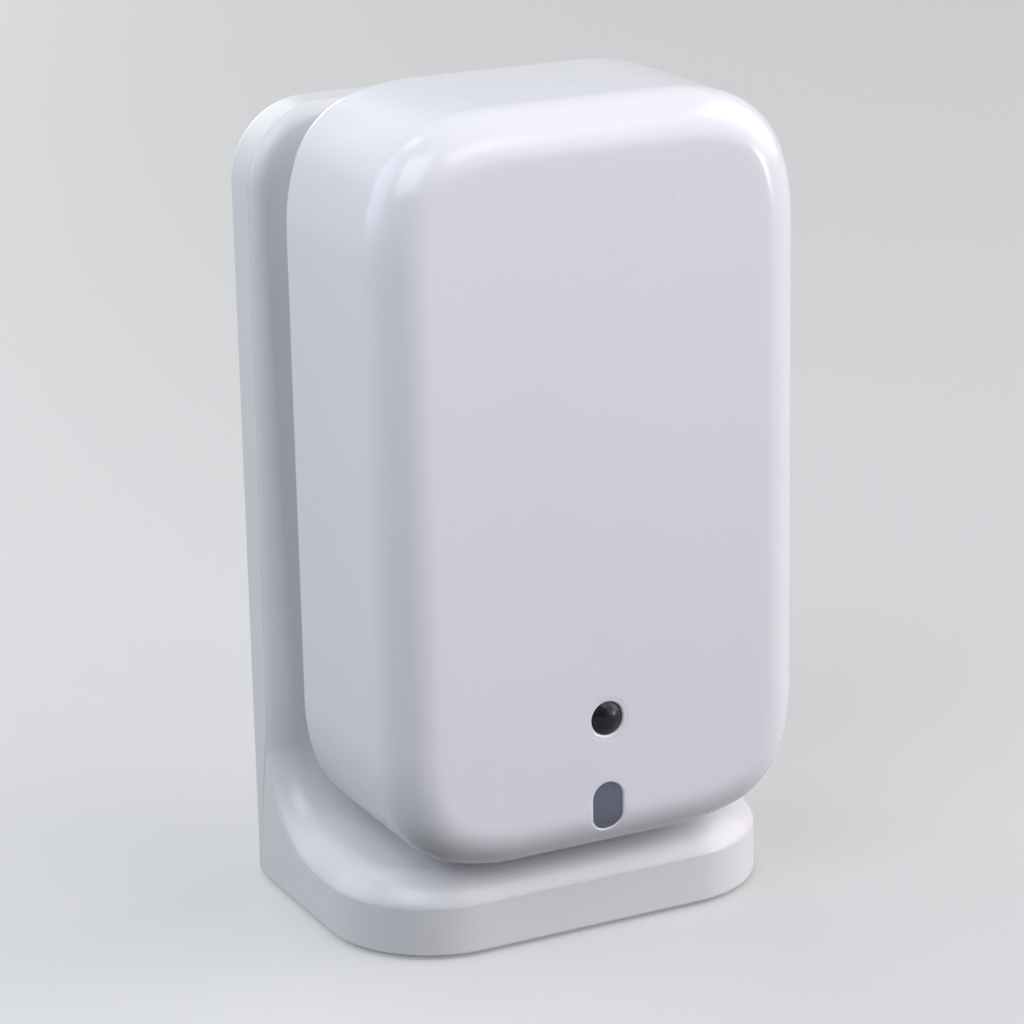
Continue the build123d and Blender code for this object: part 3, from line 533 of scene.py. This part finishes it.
class Stand:
    """Upright and foot as one wall between a front strip and a back strip.

    The front strip runs down the upright, round the sweep and along the foot's top; the back strip
    runs down the back and along the underside. Both have the same outline, and each of its points
    carries an outward direction and a direction into the wall.
    """

    def __init__(self, sizes):
        self.sizes = sizes
        self.half = span("stand_shell", 0)[1]
        self.front, self.back = span("stand_shell", 1)
        self.base, self.top = span("stand_shell", 2)
        self.face = self.back - sizes.plate
        self.front_strip = self.strip(self.face, sizes.foot_height, sizes.sweep, 1)
        self.back_strip = self.strip(self.back, self.base, sizes.back_edge, -1)

    def strip(self, y, z, radius, way):
        """Right half of a strip: top side, top corner, side, bend, side, foot corner, front.

        way is 1 for the front strip, whose bend is hollow, and -1 for the back strip.
        """
        s = self.sizes
        bend_y, bend_z = y - radius, z + radius
        across = self.half - s.head_corner
        head_z = self.top - s.head_corner
        foot_y = self.front + s.foot_corner
        foot_x = self.half - s.foot_corner
        point, out, into = [], [], []

        def add(x, depth, height, outward, inward):
            point.append(np.stack(np.broadcast_arrays(x, depth, height), axis=-1))
            count = len(point[-1])
            out.append(np.stack([np.broadcast_to(value, count) for value in outward], axis=-1))
            into.append(np.stack([np.broadcast_to(value, count) for value in inward], axis=-1))

        add(steps(0, across, 4)[:-1], y, self.top, (0, 0, 1), (0, way, 0))
        angle = steps(QUARTER, 0, ARC_POINTS)
        add(across + s.head_corner * np.cos(angle), y, head_z + s.head_corner * np.sin(angle),
            (np.cos(angle), 0, np.sin(angle)), (0, way, 0))
        side = np.append(steps(head_z, bend_z, 9)[1:-1], bend_z + FLAT_MARGIN)
        add(self.half, y, side, (1, 0, 0), (0, way, 0))
        angle = steps(0, QUARTER, ARC_POINTS)
        add(self.half, bend_y + radius * np.cos(angle), bend_z - radius * np.sin(angle),
            (1, 0, 0), (0, way * np.cos(angle), -way * np.sin(angle)))
        side = np.insert(steps(bend_y, foot_y, 7)[1:-1], 0, bend_y - FLAT_MARGIN)
        add(self.half, side, z, (1, 0, 0), (0, 0, -way))
        add(foot_x + s.foot_corner * np.cos(angle), foot_y - s.foot_corner * np.sin(angle), z,
            (np.cos(angle), -np.sin(angle), 0), (0, 0, -way))
        add(steps(foot_x, 0, 4)[1:], self.front, z, (0, -1, 0), (0, 0, -way))
        self.counts = [len(part) for part in point]
        return np.concatenate(point), np.concatenate(out), np.concatenate(into)

    def along(self, values):
        """A value for every point of the outline, blended along each of its seven stretches."""
        ends = np.concatenate([[0], np.cumsum(self.counts)])
        place = np.arange(ends[-1])
        part = np.interp(place, ends, np.arange(len(ends)))
        return np.interp(part, np.arange(len(values)), values)[:, None]

    def edge(self, strip, depth, spread=1.0, turn=QUARTER):
        """Rounded edge with a flat margin on both sides, from the face over to the side.

        It is a part of an ellipse whose angle a runs from 0 to turn: out of the face it reaches
        width x (1 - sin a / sin turn) and into the wall depth x (1 - cos a) / (1 - cos turn).
        """
        point, out, into = strip
        margin = FLAT_MARGIN / 3
        angle = steps(0, turn, SMALL_POINTS)[:, None, None]
        across = depth * spread * (1 - np.sin(angle) / math.sin(turn))
        down = depth * (1 - np.cos(angle)) / (1 - math.cos(turn))
        bend = point - out * across + into * down
        return np.concatenate([[bend[0] - out * margin], bend, [bend[-1] + into * margin]])

    def groove(self, edge, strip):
        """Fine groove in the side wall beside the rounded edge, which fades out along the sweep.

        A row is the edge's last one, moved into the wall by a part of the groove's width and
        inwards by a part of its depth.
        """
        s = self.sizes
        out, into = strip[1:]
        fade = self.along([1] * 4 + [0] * 4)
        across = [(0, 0), (0.35, 1), (0.65, 1), (1, 0)]
        rows = [edge[-1] + into * s.groove_width * part - out * s.groove_depth * fade * down
                for part, down in across]
        return np.concatenate([edge, rows, [rows[-1] + into * FLAT_MARGIN]])

    def build(self):
        """Closed shell: edges, side walls, faces, hollows, the bracket's pocket and the tubes.

        From the face over to the back, the rows are the front edge, the groove and the back edge.
        """
        s = self.sizes
        surface = Surface()
        front_depth = self.along([s.head_edge] * 3 + [s.sweep_edge] + [s.foot_edge] * 4)
        front = self.edge(self.front_strip, front_depth, s.edge_spread, s.edge_turn)
        front = self.groove(front, self.front_strip)
        back = self.edge(self.back_strip, self.along([s.back_edge] * 3 + [s.base_edge] * 5))
        surface.halves(np.concatenate([front, back[::-1]]))
        bend = sum(self.counts[:3]) - 1
        end = bend + self.counts[3] + 1
        face_loop = self.bracket_loop()
        surface.cap(mirrored(front[0, :bend + 1]), face_loop)
        surface.cap(mirrored(front[0, end:][::-1]))
        back_pocket = self.back_outline()
        base_pocket = self.base_outline()
        surface.cap(mirrored(back[0, :bend + 1]), self.inset(back_pocket, s.rim, 1, self.back))
        surface.cap(mirrored(back[0, end:][::-1]), self.inset(base_pocket, s.rim, 2, self.base))
        for strip in (front, back):
            ridge = strip[0, bend:end + 1]
            surface.grid(np.stack([ridge * (-1, 1, 1), ridge]))
        inner, ceiling = self.face + s.wall, s.foot_height - s.foot_wall
        back_step, base_step = self.back - s.back_cover, self.base + s.base_cover
        self.pocket(surface, back_pocket, 1, s.wall, self.back, back_step, inner)
        self.pocket(surface, base_pocket, 2, s.foot_wall, self.base, base_step, ceiling)
        floor_loop = face_loop + (0, s.bracket_depth, 0)
        surface.grid(np.stack([face_loop, floor_loop]), closed=True)
        surface.cap(floor_loop)
        upright_tube = COVER_TUBE, inner - TUBE_BITE, back_step
        screw_tubes(surface, "back_cover_screws", 1, *upright_tube)
        screw_tubes(surface, "foot_base_screws", 2, BASE_TUBE, base_step, ceiling + TUBE_BITE)
        screw_tubes(surface, "bracket_screws", 1, *upright_tube)
        return surface.piece("stand_body")

    def bracket_loop(self):
        """Border of the bracket's pocket in the face: its box from the front, plus some play."""
        low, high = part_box("hinge_bracket")
        play = self.sizes.bracket_play
        half, bottom, top = high[0] + play, low[2] - play, high[2] + play
        corners = [[-half, bottom], [half, bottom], [half, top], [-half, top]]
        return stood(np.array(corners), self.face)

    def back_outline(self):
        """Upright's hollow: right half from the upper middle down, round at the top."""
        radius, bottom = self.sizes.head_corner, self.sizes.foot_height
        middle = self.half - radius, self.top - radius
        return np.concatenate([[[0, self.top, 0, 1]],
                               corner_arc(middle, radius, steps(QUARTER, 0, ARC_POINTS)),
                               [[self.half, bottom, 1, -1], [0, bottom, 0, -1]]])

    def base_outline(self):
        """Foot's hollow: right half from the back middle forwards, round at the front."""
        radius = self.sizes.foot_corner
        middle = self.half - radius, self.front + radius
        return np.concatenate([[[0, self.back, 0, 1], [self.half, self.back, 1, 1]],
                               corner_arc(middle, radius, steps(0, QUARTER, EDGE_POINTS), -1),
                               [[0, self.front, 0, -1]]])

    def inset(self, outline, inset, axis, level):
        """The outline on one level, moved inwards and mirrored: outline - inset x outward."""
        flat = outline[:, :2] - inset * outline[:, 2:]
        columns = [flat[:, 0], flat[:, 1]]
        columns.insert(axis, level + 0 * flat[:, 0])
        return mirrored(np.stack(columns, axis=-1))

    def pocket(self, surface, outline, axis, wall, mouth, step, end):
        """Hollow as wide as the rim allows from its mouth to the step, then as the wall does."""
        rim = self.sizes.rim
        loops = [self.inset(outline, inset, axis, level)
                 for inset, level in ((rim, mouth), (rim, step), (wall, step), (wall, end))]
        surface.grid(np.stack(loops), closed=True)
        surface.cap(loops[-1])


# Finishes

class Wire:
    """One value in a material's nodes; arithmetic on it adds Math nodes."""

    def __init__(self, finish, socket):
        self.finish = finish
        self.socket = socket

    def math(self, operation, other):
        return self.finish.node("ShaderNodeMath", {"operation": operation}, {0: self, 1: other})

    def __add__(self, other):
        return self.math("ADD", other)

    def __mul__(self, other):
        return self.math("MULTIPLY", other)

    __radd__ = __add__
    __rmul__ = __mul__


class Finish:
    """A procedural material: its shader, the places on the piece, and the nodes added to them."""

    def __init__(self, name, **constants):
        self.material = bpy.data.materials.new(name)
        self.material.use_nodes = True
        self.tree = self.material.node_tree
        self.shader = self.tree.nodes["Principled BSDF"]
        for socket, value in constants.items():
            self.shader.inputs[socket.replace("_", " ")].default_value = value
        self.place = self.node("ShaderNodeTexCoord", {}, {}, "Object")

    def node(self, kind, settings, inputs, output=0):
        """One output of a new node: its settings come first, then its sockets' values or links."""
        made = self.tree.nodes.new(kind)
        for name, value in settings.items():
            setattr(made, name, value)
        for name, value in inputs.items():
            if isinstance(value, Wire):
                self.tree.links.new(value.socket, made.inputs[name])
            else:
                made.inputs[name].default_value = value
        return Wire(self, made.outputs[output])

    def drive(self, socket, wire):
        self.tree.links.new(wire.socket, self.shader.inputs[socket])

    def noise(self, size, detail, roughness=0.5, place=None):
        """Noise whose features are about size across."""
        return self.node("ShaderNodeTexNoise", {},
                         {"Vector": place or self.place, "Scale": 1 / size, "Detail": detail,
                          "Roughness": roughness})

    def ramp(self, wire, first, last):
        """0 below first, 1 above last."""
        return self.node("ShaderNodeMapRange", {"interpolation_type": "SMOOTHSTEP"},
                         {"Value": wire, "From Min": first, "From Max": last})

    def mix(self, factor, first, second):
        return self.node("ShaderNodeMix", {"data_type": "RGBA"},
                         {"Factor": factor, 6: opaque(first), 7: opaque(second)}, 2)

    def bump(self, height, distance, strength, under=None):
        """Normal of a height, on top of another bump's where under is given."""
        inputs = {"Height": height, "Distance": distance, "Strength": strength}
        if under is not None:
            inputs["Normal"] = under
        return self.node("ShaderNodeBump", {}, inputs)

    def axis(self, name):
        return self.node("ShaderNodeSeparateXYZ", {}, {0: self.place}, name)

    def seen(self):
        """1 for rays from the camera, also by way of a reflection or through glass."""
        camera, glossy, clear = [self.node("ShaderNodeLightPath", {}, {}, kind) for kind in
                                 ("Is Camera Ray", "Is Glossy Ray", "Is Transmission Ray")]
        return self.node("ShaderNodeMath", {"operation": "ADD", "use_clamp": True},
                         {0: camera + glossy, 1: clear})


class Air(Finish):
    """The world's nodes, driven as a finish is."""

    def __init__(self, world):
        self.tree = world.node_tree
        self.shader = self.tree.nodes["Background"]


def opaque(value):
    return value if isinstance(value, Wire) else (*value, 1.0)


def shade(value, factor):
    return tuple(part * factor for part in value)


def moulded(name, value, roughness, wear=0.0, depth=0.000004):
    """Moulded plastic: spark-eroded grain, a slow waviness from the mould, and handling marks."""
    finish = Finish(name, IOR=1.46)
    cloud = finish.noise(0.018, 3)
    smear = finish.ramp(finish.noise(0.007, 4, 0.65), 0.45, 0.75)
    speck = finish.ramp(finish.noise(0.0009, 2), 0.70, 0.78)
    tone = finish.mix(cloud, shade(value, 0.975), shade(value, 1.015))
    tone = finish.mix(speck * (0.05 + wear), tone, shade(value, 0.82))
    finish.drive("Base Color", tone)
    finish.drive("Roughness", roughness + smear * 0.05 + cloud * 0.03 + speck * 0.08)
    fine = finish.noise(0.00022, 2)
    slow = finish.noise(0.010, 1)
    finish.drive("Normal", finish.bump(fine, depth, 0.35, finish.bump(slow, 0.00006, 0.35)))
    return finish.material


def metal(name, value, roughness, brushed=None):
    """Metal: fine scratches, one way when brushed names an axis, and dull patches."""
    finish = Finish(name, Metallic=1.0)
    stretch = [1.0, 1.0, 1.0]
    if brushed is not None:
        stretch[brushed] = 0.04
    place = finish.node("ShaderNodeMapping", {}, {"Vector": finish.place, "Scale": stretch})
    line = finish.noise(0.00012, 3, 0.6, place)
    dull = finish.ramp(finish.noise(0.0016, 3), 0.40, 0.70)
    finish.drive("Base Color", finish.mix(dull * 0.6 + line * 0.25, value, shade(value, 0.72)))
    finish.drive("Roughness", roughness + dull * 0.12 + line * 0.08)
    finish.drive("Normal", finish.bump(line, 0.000004, 0.5))
    return finish.material


def glassy(name, value, roughness):
    """Dark filter plastic that lets little light back out, with a trace of dust."""
    finish = Finish(name, IOR=1.36)
    speck = finish.ramp(finish.noise(0.00025, 2), 0.66, 0.74)
    haze = finish.noise(0.0015, 2)
    finish.drive("Base Color", finish.mix(speck * 0.05, value, (0.5, 0.5, 0.52)))
    finish.drive("Roughness", roughness + haze * 0.05 + speck * 0.15)
    finish.drive("Normal", finish.bump(haze, 0.00001, 0.2))
    return finish.material


def light_guide(name, value):
    """Frosted light guide: slightly cloudy, with a fine diffusing grain under a thin gloss."""
    finish = Finish(name, IOR=1.49, Coat_Weight=0.25, Coat_Roughness=0.1)
    grain = finish.noise(0.00012, 2)
    cloud = finish.noise(0.0016, 2)
    finish.drive("Base Color", finish.mix(cloud, shade(value, 0.92), shade(value, 1.10)))
    finish.drive("Roughness", 0.22 + grain * 0.10)
    finish.drive("Normal", finish.bump(grain, 0.000002, 0.15))
    return finish.material


def rubber(name, value):
    """Silicone: matt, with pores and lint."""
    finish = Finish(name, IOR=1.42)
    pore = finish.noise(0.00030, 3, 0.6)
    lint = finish.ramp(finish.noise(0.0007, 4, 0.7), 0.62, 0.72)
    finish.drive("Base Color", finish.mix(lint * 0.35, value, shade(value, 1.7)))
    finish.drive("Roughness", 0.62 + pore * 0.20)
    finish.drive("Normal", finish.bump(pore, 0.00002, 0.5))
    return finish.material


def board(name, value):
    """Circuit board: solder mask over tracks, which show as raised lines of a lighter green."""
    finish = Finish(name, IOR=1.5, Coat_Weight=0.3)
    place = finish.node("ShaderNodeMapping", {},
                        {"Vector": finish.place, "Rotation": (QUARTER, 0, 0)})
    cells = finish.node("ShaderNodeTexBrick", {"offset": 0.35},
                        {"Vector": place, "Scale": 420.0, "Mortar Size": 0.05,
                         "Mortar Smooth": 0.3}, "Fac")
    weave = finish.noise(0.0004, 2)
    finish.drive("Base Color", finish.mix(cells * 0.6 + weave * 0.2, value, shade(value, 1.9)))
    finish.drive("Roughness", 0.30 + weave * 0.15)
    finish.drive("Normal", finish.bump(cells, 0.00003, 0.5, finish.bump(weave, 0.00001, 0.4)))
    return finish.material


def jacket(name, value, band):
    """Cell's printed jacket: a plain colour with a band of another, and a gloss film over both.

    The band starts 10 mm above the cell's middle, and its border is 0.2 mm soft.
    """
    finish = Finish(name, IOR=1.5, Coat_Weight=0.5)
    middle = sum(span("battery_cell_left", 2)) / 2
    above = finish.ramp(finish.axis("Z"), middle + 10 * MM, middle + 10.2 * MM)
    ripple = finish.noise(0.0012, 3)
    finish.drive("Base Color", finish.mix(above, value, band))
    finish.drive("Roughness", 0.30 + ripple * 0.12)
    finish.drive("Normal", finish.bump(ripple, 0.00003, 0.3))
    return finish.material


# Studio: each lamp's name, place, width, power and colour

LAMP_AIM = Vector((0, 0, 0.045))
LAMPS = (
    ("left_rear", (-1.044, 0.603, 0.532), 1.05, 6.90, (0.82, 0.92, 1.00)),
    ("front_right", (0.833, -0.833, 0.594), 1.2, 7.30, (0.95, 0.92, 1.00)),
    ("right", (1.152, -0.245, 0.594), 1.2, 11.20, (1.00, 0.97, 0.98)),
    ("rear_right", (0.422, 0.794, 0.483), 1.0, 0.30, (0.90, 1.00, 0.95)),
    ("rear_left", (-0.173, 0.646, 0.647), 1.0, 0.98, (0.98, 1.00, 0.99)),
    ("rear_low", (0.045, 1.279, 0.271), 0.5, 4.20, (0.97, 0.99, 1.00)),
    ("low_right", (0.52, -0.468, 0.033), 0.06, 0.72, (0.94, 0.92, 1.00)),
    ("high_left", (-0.175, 0.303, 0.651), 0.2, 0.36, (0.97, 1.00, 0.96)),
    ("front_near", (0.06, -0.241, 0.277), 0.13, 0.14, (1.00, 0.96, 0.92)),
    ("left_near", (-0.233, -0.169, 0.323), 0.28, 0.96, (0.87, 0.93, 1.00)),
)
AIR = (0.02, 0.02, 0.022)  # colour of the world where it lights the object

# Parts of the floor's colour: where the floor is seen, its glow and the surface that takes the
# object's shadow, and the same two where it lights the object
BACKDROP_GLOW, FLOOR_SHADE = 0.38, 0.55
FLOOR_GLOW, FLOOR_BOUNCE = 0.02, 0.04

# Floor's front border and half its width, then the backdrop's place, height and bend radius
FLOOR_FRONT, FLOOR_SIDE = -1.4, 2.0
BACKDROP_Y, BACKDROP_TOP, BACKDROP_BEND = 1.6, 1.6, 0.5

# Camera as fitted to the photograph
CAMERA_AIM = Vector((1.09, 5.775, 41.476)) * MM
CAMERA_DISTANCE = 390.05 * MM
CAMERA_ACROSS = math.radians(-26.643)
CAMERA_RISE = math.radians(17.308)
CAMERA_ROLL = math.radians(-1.146)
FOCAL_PIXELS, PHOTO_PIXELS, SENSOR_WIDTH = 3601.8, 1024, 36.0


# Operators

def place(piece, body, slot, *nodes):
    """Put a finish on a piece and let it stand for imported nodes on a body."""
    piece.data.materials.append(bpy.data.materials[slot + "_finish"])
    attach(piece, body)
    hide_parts(*nodes)


class SENSOR_OT_finishes(bpy.types.Operator):
    """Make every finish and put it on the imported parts"""
    bl_idname = "sensor.finishes"
    bl_label = "Finishes"

    def execute(self, context):
        values = context.scene.presence_finish
        finishes = {
            "shell_white": (moulded, values.shell, 0.17),
            "button_white": (moulded, shade(values.shell, 0.96), 0.42),
            "stand_white": (moulded, values.stand, 0.28, 0.02),
            "base_grey": (moulded, (0.30, 0.305, 0.32), 0.45, 0.0, 0.000008),
            "silicone_grey": (rubber, values.rubber),
            "screw_steel": (metal, shade(values.metal, 0.8), 0.32),
            "bracket_steel": (metal, values.metal, 0.30, 0),
            "washer_polymer": (moulded, (0.07, 0.07, 0.075), 0.5),
            "magnet_nickel": (metal, (0.62, 0.60, 0.57), 0.18),
            "lens_black": (glassy, values.lens, 0.21),
            "window_grey": (light_guide, values.window),
            "shroud_black": (moulded, (0.015, 0.015, 0.017), 0.6),
            "board_green": (board, values.board),
            "chip_black": (moulded, (0.02, 0.02, 0.022), 0.45),
            "led_white": (moulded, (0.75, 0.73, 0.62), 0.25),
            "copper": (metal, (0.83, 0.55, 0.28), 0.25),
            "shield_tin": (metal, (0.66, 0.66, 0.65), 0.30, 0),
            "cell_jacket": (jacket, (0.03, 0.032, 0.036), (0.55, 0.27, 0.09)),
            "contact_nickel": (metal, (0.62, 0.60, 0.55), 0.22, 1),
        }
        made = {slot: make(slot + "_finish", *rest) for slot, (make, *rest) in finishes.items()}
        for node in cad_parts.values():
            for slot in node.material_slots:
                slot.material = made[slot.material.name.split(".")[0]]
        return {"FINISHED"}


class SENSOR_OT_housing(bpy.types.Operator):
    """Sensor's front shell, with its window and lens openings"""
    bl_idname = "sensor.housing"
    bl_label = "Housing"

    def execute(self, context):
        housing = Housing(context.scene.presence_sensor)
        place(housing.build(), "sensor", "shell_white", "front_shell")
        return {"FINISHED"}


class SENSOR_OT_optics(bpy.types.Operator):
    """Lens, its bezel and the lit window"""
    bl_idname = "sensor.optics"
    bl_label = "Lens and window"

    def execute(self, context):
        housing = Housing(context.scene.presence_sensor)
        place(lens_piece(housing), "sensor", "lens_black", "light_sensor_lens")
        place(bezel_piece(housing), "sensor", "shell_white", "lens_bezel")
        place(window_piece(housing), "sensor", "window_grey", "status_window")
        return {"FINISHED"}


class SENSOR_OT_stand(bpy.types.Operator):
    """Stand: upright and foot"""
    bl_idname = "sensor.stand"
    bl_label = "Stand"

    def execute(self, context):
        stand = Stand(context.scene.presence_stand)
        place(stand.build(), "stand", "stand_white", "stand_shell")
        return {"FINISHED"}


def make_lamp(name, spot, width, power, tint):
    """Soft lamp, as high as wide, that looks at the object's middle."""
    data = bpy.data.lights.new(name, "AREA")
    data.shape = "RECTANGLE"
    data.size = data.size_y = width
    data.energy = power
    data.color = tint
    thing = bpy.data.objects.new(name, data)
    thing.location = spot
    thing.rotation_euler = (LAMP_AIM - Vector(spot)).to_track_quat("-Z", "Y").to_euler()
    bpy.context.scene.collection.objects.link(thing)


class SENSOR_OT_stage(bpy.types.Operator):
    """Floor, lamps, world and camera"""
    bl_idname = "sensor.stage"
    bl_label = "Studio"

    def execute(self, context):
        scene = context.scene
        scene.view_settings.view_transform = "Standard"
        tint = tuple(scene.presence_finish.floor)
        self.floor(scene, tint)
        self.world(scene, tint)
        for lamp in LAMPS:
            make_lamp(*lamp)
        self.camera(scene)
        return {"FINISHED"}

    def floor(self, scene, tint):
        """Floor that sweeps up behind the object as one smooth sheet.

        Its profile is a flat, a quarter circle and a wall, the same for every x.
        """
        angle = steps(0, QUARTER, EDGE_POINTS)
        bend_y = BACKDROP_Y - BACKDROP_BEND
        y = np.concatenate([[FLOOR_FRONT], bend_y + BACKDROP_BEND * np.sin(angle), [BACKDROP_Y]])
        z = np.concatenate([[0], BACKDROP_BEND * (1 - np.cos(angle)), [BACKDROP_TOP]])
        x = steps(-FLOOR_SIDE, FLOOR_SIDE, 9)
        points = np.stack(np.broadcast_arrays(x[None, :], y[:, None], z[:, None]), axis=-1)
        faces = quads(*points.shape[:2])
        mesh = bpy.data.meshes.new("studio_floor")
        mesh.from_pydata(points.reshape(-1, 3).tolist(), [], faces.tolist())
        mesh.shade_smooth()
        finish = Finish("studio_floor_finish", Roughness=0.65, Emission_Strength=1.0)
        cloud = finish.noise(0.15, 2)
        seen = finish.seen()
        shown = finish.mix(cloud, shade(tint, FLOOR_SHADE * 0.99), shade(tint, FLOOR_SHADE * 1.01))
        glow = finish.mix(seen, shade(tint, FLOOR_GLOW), shade(tint, BACKDROP_GLOW))
        finish.drive("Base Color", finish.mix(seen, shade(tint, FLOOR_BOUNCE), shown))
        finish.drive("Emission Color", glow)
        mesh.materials.append(finish.material)
        thing = bpy.data.objects.new("studio_floor", mesh)
        scene.collection.objects.link(thing)

    def world(self, scene, tint):
        """World that looks as the backdrop does and lights the object a little."""
        world = bpy.data.worlds.new("studio_air")
        world.use_nodes = True
        air = Air(world)
        air.drive("Color", air.mix(air.seen(), AIR, shade(tint, BACKDROP_GLOW)))
        scene.world = world

    def camera(self, scene):
        """Camera at the photograph's angle, turned a little about its own axis."""
        data = bpy.data.cameras.new("camera")
        data.sensor_width = SENSOR_WIDTH
        data.lens = FOCAL_PIXELS / PHOTO_PIXELS * SENSOR_WIDTH
        data.clip_start = 0.01
        data.clip_end = 20.0
        thing = bpy.data.objects.new("camera", data)
        level = math.cos(CAMERA_RISE)
        away = Vector((math.sin(CAMERA_ACROSS) * level, -math.cos(CAMERA_ACROSS) * level,
                       math.sin(CAMERA_RISE)))
        thing.location = CAMERA_AIM + away * CAMERA_DISTANCE
        turn = (-away).to_track_quat("-Z", "Y").to_matrix()
        thing.rotation_euler = (turn @ Matrix.Rotation(CAMERA_ROLL, 3, "Z")).to_euler()
        scene.collection.objects.link(thing)
        scene.camera = thing


class SENSOR_PT_panel(bpy.types.Panel):
    """Lists the steps, and every size and colour"""
    bl_idname = "SENSOR_PT_panel"
    bl_label = "Presence sensor"
    bl_space_type = "VIEW_3D"
    bl_region_type = "UI"
    bl_category = "Sensor"

    def draw(self, context):
        for step in STEPS:
            self.layout.operator(step.bl_idname)
        for group in (getattr(context.scene, name) for name in GROUPS):
            box = self.layout.box()
            for name in group.bl_rna.properties.keys():
                if name not in ("rna_type", "name"):
                    box.prop(group, name)


STEPS = (SENSOR_OT_finishes, SENSOR_OT_housing, SENSOR_OT_optics, SENSOR_OT_stand, SENSOR_OT_stage)
GROUPS = {"presence_sensor": SensorSizes, "presence_stand": StandSizes, "presence_finish": Finishes}


def register():
    for group in (*GROUPS.values(), *STEPS, SENSOR_PT_panel):
        bpy.utils.register_class(group)
    for name, group in GROUPS.items():
        setattr(bpy.types.Scene, name, PointerProperty(type=group))


def unregister():
    for name in GROUPS:
        delattr(bpy.types.Scene, name)
    for group in (SENSOR_PT_panel, *STEPS[::-1], *GROUPS.values()):
        bpy.utils.unregister_class(group)


def main():
    register()
    bpy.ops.sensor.finishes()
    bpy.ops.sensor.housing()
    bpy.ops.sensor.optics()
    bpy.ops.sensor.stand()
    bpy.ops.sensor.stage()


if __name__ == "__main__":
    main()
